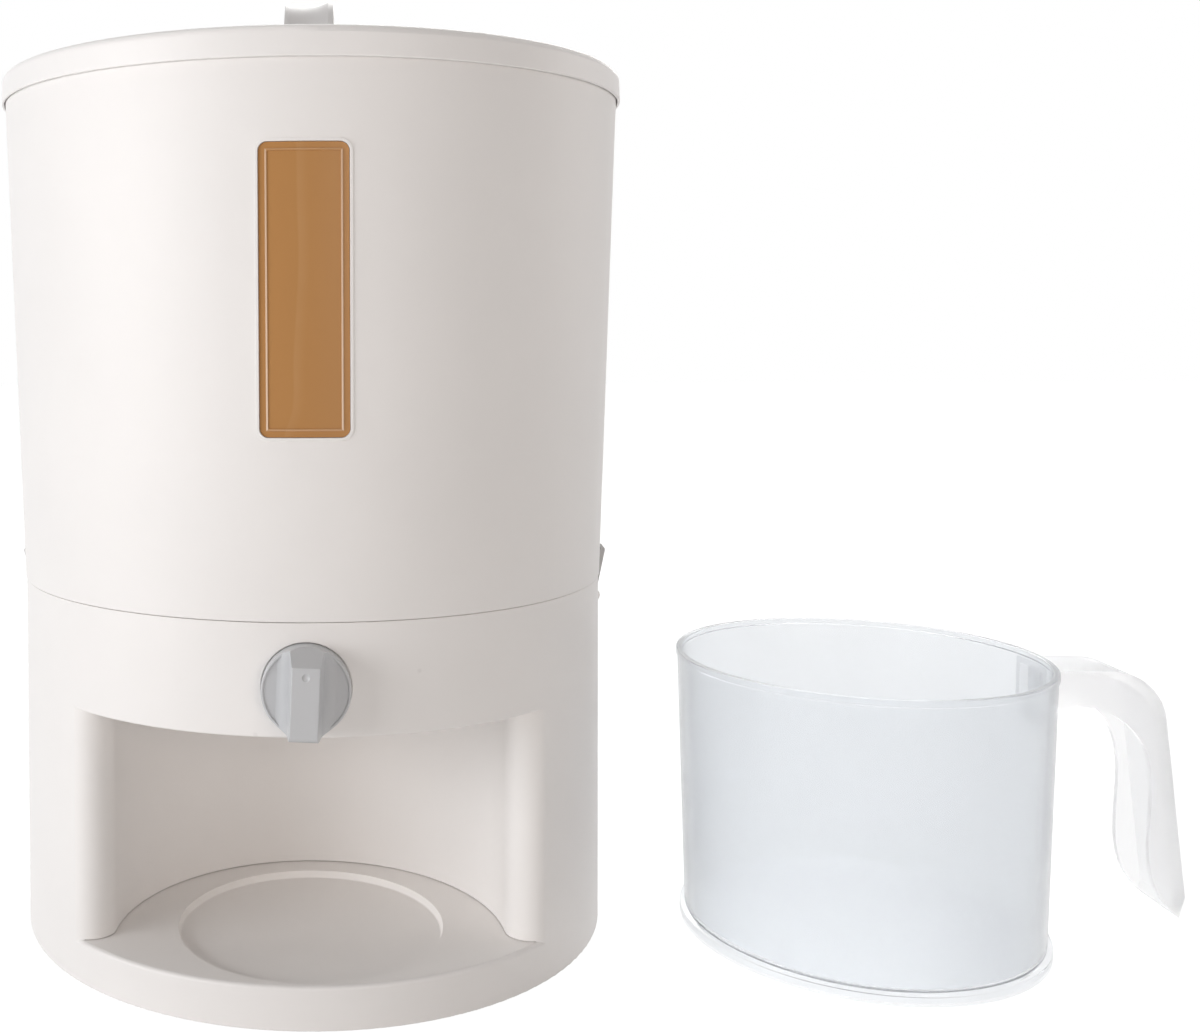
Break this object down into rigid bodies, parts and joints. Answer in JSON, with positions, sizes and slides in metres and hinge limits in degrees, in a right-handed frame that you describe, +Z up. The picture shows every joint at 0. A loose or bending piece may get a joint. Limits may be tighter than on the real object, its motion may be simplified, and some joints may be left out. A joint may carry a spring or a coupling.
{
  "type": "rice dispenser",
  "caption": "Round hopper bin on a base with an open bay, a front knob that turns a rotary valve, a press-on lid with a grip, side latches and a loose measuring cup.",
  "frame": {"origin": "on the floor under the axis of the round tank, the bottom of the central rubber foot", "axes": "+Z up along the tank's axis; the front with the window, knob and bay looks along -Y; the loose cup stands on the +X side"},
  "size_m": [0.5206, 0.2921, 0.4178],
  "materials": {
    "shell_white": "satin",
    "lid_white": "gloss",
    "knob_grey": "satin",
    "latch_grey": "satin",
    "inner_white": "matte",
    "valve_plastic": "matte",
    "seal": "matte",
    "foot_rubber": "matte",
    "steel": "brushed",
    "window_amber": "gloss",
    "cup_clear": "gloss"
  },
  "bodies": {
    "dispenser": {"base_housing": "shell_white", "floor_plate": "inner_white", "rubber_feet": "foot_rubber", "plate_screws": "steel", "valve_body": "valve_plastic", "valve_cover": "valve_plastic", "valve_screws": "steel", "outlet_gasket": "seal", "shaft_bush": "valve_plastic", "tank": "shell_white", "window_gasket": "seal", "window_lens": "window_amber", "hopper": "inner_white", "latch_pins": "steel"},
    "knob_drive": {"knob": "knob_grey", "drive_shaft": "valve_plastic", "shaft_clip": "steel", "valve_drum": "valve_plastic"},
    "lid_unit": {"lid": "lid_white", "lid_seal": "seal", "lid_grip": "knob_grey", "grip_screws": "steel"},
    "latch_r": {"latch_right": "latch_grey"},
    "latch_l": {"latch_left": "latch_grey"},
    "cup": {"measuring_cup": "cup_clear", "cup_handle": "cup_clear"}
  },
  "joints": [
    {"name": "knob_turn", "type": "hinge", "parent": "dispenser", "child": "knob_drive", "pos_m": [0, -0.13, 0.1322], "axis": [0, 1, 0], "range_deg": [-2.5, 87.5]},
    {"name": "lid_lift", "type": "slide", "parent": "dispenser", "child": "lid_unit", "axis": [0, 0, 1], "range_m": [0, 0.1]},
    {"name": "latch_right_swing", "type": "hinge", "parent": "dispenser", "child": "latch_r", "pos_m": [0.1306, 0.03256, 0.13905], "axis": [-0.2419, 0.9703, 0], "range_deg": [0, 110]},
    {"name": "latch_left_swing", "type": "hinge", "parent": "dispenser", "child": "latch_l", "pos_m": [-0.1306, 0.03256, 0.13905], "axis": [-0.2419, -0.9703, 0], "range_deg": [0, 110]},
    {"name": "cup_lift", "type": "slide", "parent": "dispenser", "child": "cup", "axis": [0, 0, 1], "range_m": [0, 0.15]}
  ]
}
